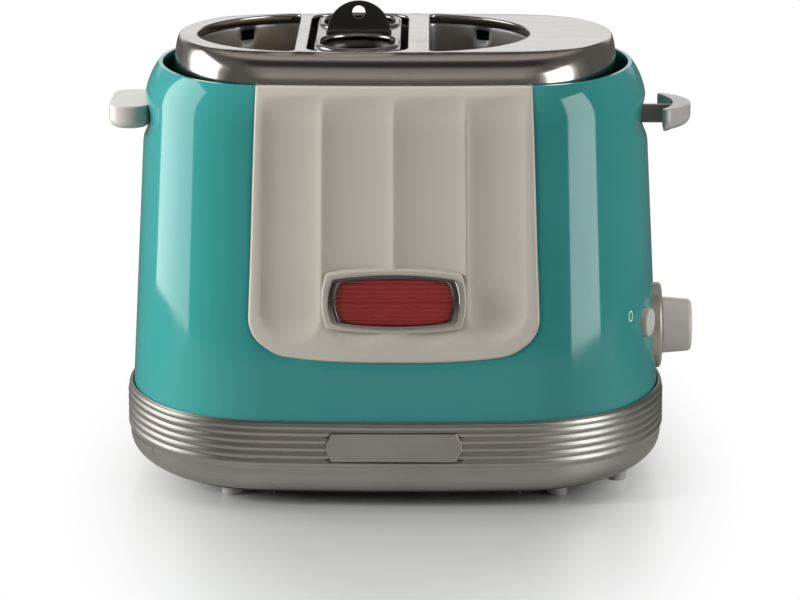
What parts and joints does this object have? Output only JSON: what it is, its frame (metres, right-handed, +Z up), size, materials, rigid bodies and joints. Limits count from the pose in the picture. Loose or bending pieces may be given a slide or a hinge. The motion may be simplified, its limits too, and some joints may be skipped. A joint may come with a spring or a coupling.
{
  "type": "hot dog maker",
  "caption": "Countertop pop-up hot dog maker with half-round bun slots, a lift-out sausage basket, side lever, browning knob, cancel button and crumb tray.",
  "frame": {"origin": "centre of the overall box at the level of the feet", "axes": "+X to the right, towards the lever and the knob; +Y to the back; +Z up"},
  "size_m": [0.29, 0.195, 0.2348],
  "materials": {
    "teal": "glossy turquoise",
    "cream": "warm white, soft gloss",
    "badge_chrome": "polished, dark",
    "lens": "clear red with cross ribs",
    "skirt_metal": "satin silver",
    "cover_metal": "polished, faint brushing",
    "well_sheet": "thin bright sheet",
    "chassis_sheet": "galvanised sheet",
    "rest_wire": "bright wire",
    "tray_sheet": "thin bright sheet",
    "base_sheet": "dark grey coating",
    "foot_rubber": "satin grey",
    "mica": "layered mica board",
    "ribbon": "resistance ribbon",
    "rod_steel": "ground",
    "screw_steel": "zinc plated",
    "spring_steel": "spring wire",
    "core_iron": "bare",
    "coil_copper": "enamelled copper winding",
    "board": "green solder mask",
    "board_black": "moulded",
    "terminal": "moulded",
    "bush_black": "moulded",
    "basket_metal": "bright pressed sheet",
    "grip_black": "moulded"
  },
  "bodies": {
    "base": {"body_shell": "teal", "front_panel": "cream", "side_handle": "cream", "dial_ring": "cream", "badge_frame": "badge_chrome", "badge_lens": "lens", "base_skirt": "skirt_metal", "name_plate": "skirt_metal", "top_cover": "cover_metal", "well_left": "well_sheet", "well_right": "well_sheet", "sausage_well": "well_sheet", "chassis_left": "chassis_sheet", "chassis_right": "chassis_sheet", "chassis_floor": "chassis_sheet", "guard_wires_left": "rest_wire", "guard_wires_right": "rest_wire", "guard_wires_middle": "rest_wire", "base_plate": "base_sheet", "foot_front_left": "foot_rubber", "foot_front_right": "foot_rubber", "foot_rear_left": "foot_rubber", "foot_rear_right": "foot_rubber", "foot_side_front": "foot_rubber", "foot_side_rear": "foot_rubber", "heater_card_left": "mica", "heater_card_right": "mica", "heater_ribbons_left": "ribbon", "heater_ribbons_right": "ribbon", "guide_rods": "rod_steel", "base_screws": "screw_steel", "handle_screws": "screw_steel", "return_spring_front": "spring_steel", "return_spring_rear": "spring_steel", "latch_core": "core_iron", "latch_coil": "coil_copper", "circuit_board": "board", "board_parts": "board_black", "cancel_switch": "board_black", "timer": "board_black", "terminal_block": "terminal", "cord_bush": "bush_black"},
    "carriage": {"carriage_frame": "chassis_sheet", "rack_bar": "chassis_sheet", "bun_rest_left": "rest_wire", "bun_rest_right": "rest_wire", "basket_rest": "chassis_sheet", "latch_plate": "chassis_sheet", "lever_arm": "chassis_sheet", "lever_cap": "cream"},
    "basket": {"basket_plate": "basket_metal", "basket_cup_front": "basket_metal", "basket_cup_rear": "basket_metal", "basket_grip": "grip_black"},
    "knob": {"control_knob": "cream", "timer_shaft": "rod_steel"},
    "button": {"cancel_button": "cream"},
    "tray": {"crumb_tray": "tray_sheet", "tray_front": "skirt_metal"}
  },
  "joints": [
    {"name": "lever_slide", "type": "slide", "parent": "base", "child": "carriage", "axis": [0, 0, -1], "range_m": [0, 0.06], "stiffness_N_per_m": 150, "springref_m": -0.05, "deforming": ["return_spring_front", "return_spring_rear"]},
    {"name": "basket_lift", "type": "slide", "parent": "carriage", "child": "basket", "axis": [0, 0, 1], "range_m": [0, 0.17]},
    {"name": "knob_turn", "type": "hinge", "parent": "base", "child": "knob", "pos_m": [0.1363, 0, 0.0702], "axis": [-1, 0, 0], "range_deg": [0, 270]},
    {"name": "button_press", "type": "slide", "parent": "base", "child": "button", "axis": [-0.9421, 0.3355, 0], "range_m": [0, 0.0015], "stiffness_N_per_m": 600, "springref_m": -0.001},
    {"name": "tray_slide", "type": "slide", "parent": "base", "child": "tray", "axis": [-1, 0, 0], "range_m": [0, 0.175]}
  ]
}
